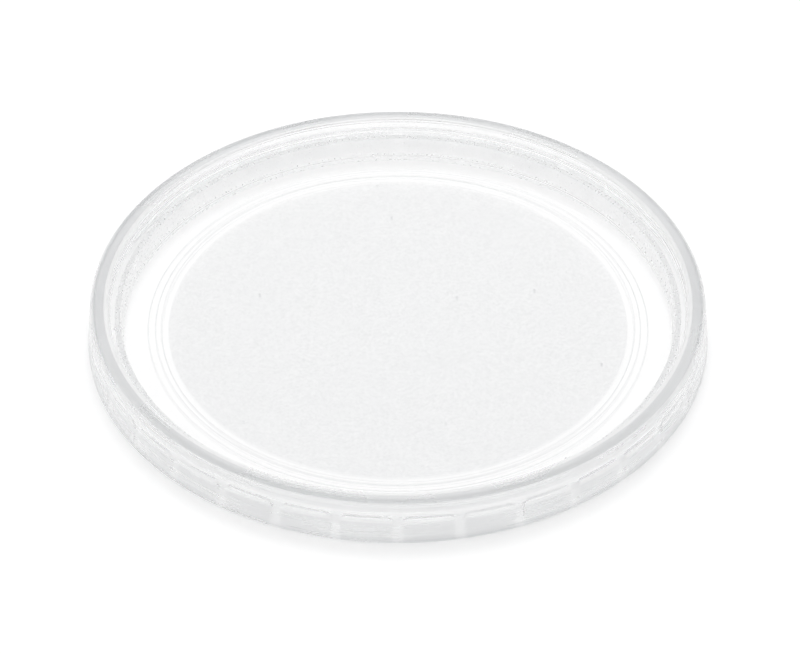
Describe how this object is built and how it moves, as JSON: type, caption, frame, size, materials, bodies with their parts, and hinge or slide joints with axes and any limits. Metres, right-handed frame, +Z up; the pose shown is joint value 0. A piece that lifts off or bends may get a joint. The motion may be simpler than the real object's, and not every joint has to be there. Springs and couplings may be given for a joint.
{
  "type": "petri dish",
  "caption": "Large shallow round culture dish in clear plastic: a flat ringed floor on a foot rim, and a loose vented lid with a raised hollow rim and a flared skirt hanging outside the dish.",
  "frame": {"origin": "on the bench, at the centre of the dish", "axes": "+Z up out of the dish; the object is round, so X and Y only set where the vent nubs fall"},
  "size_m": [0.15, 0.15, 0.0116],
  "materials": {
    "dish_clear": "clear, polished",
    "lid_clear": "clear, polished"
  },
  "bodies": {
    "dish": {"dish": "dish_clear"},
    "lid": {"lid": "lid_clear"}
  },
  "joints": [
    {"name": "lid_lift", "type": "slide", "parent": "dish", "child": "lid", "axis": [0, 0, 1], "range_m": [0, 0.04]}
  ]
}
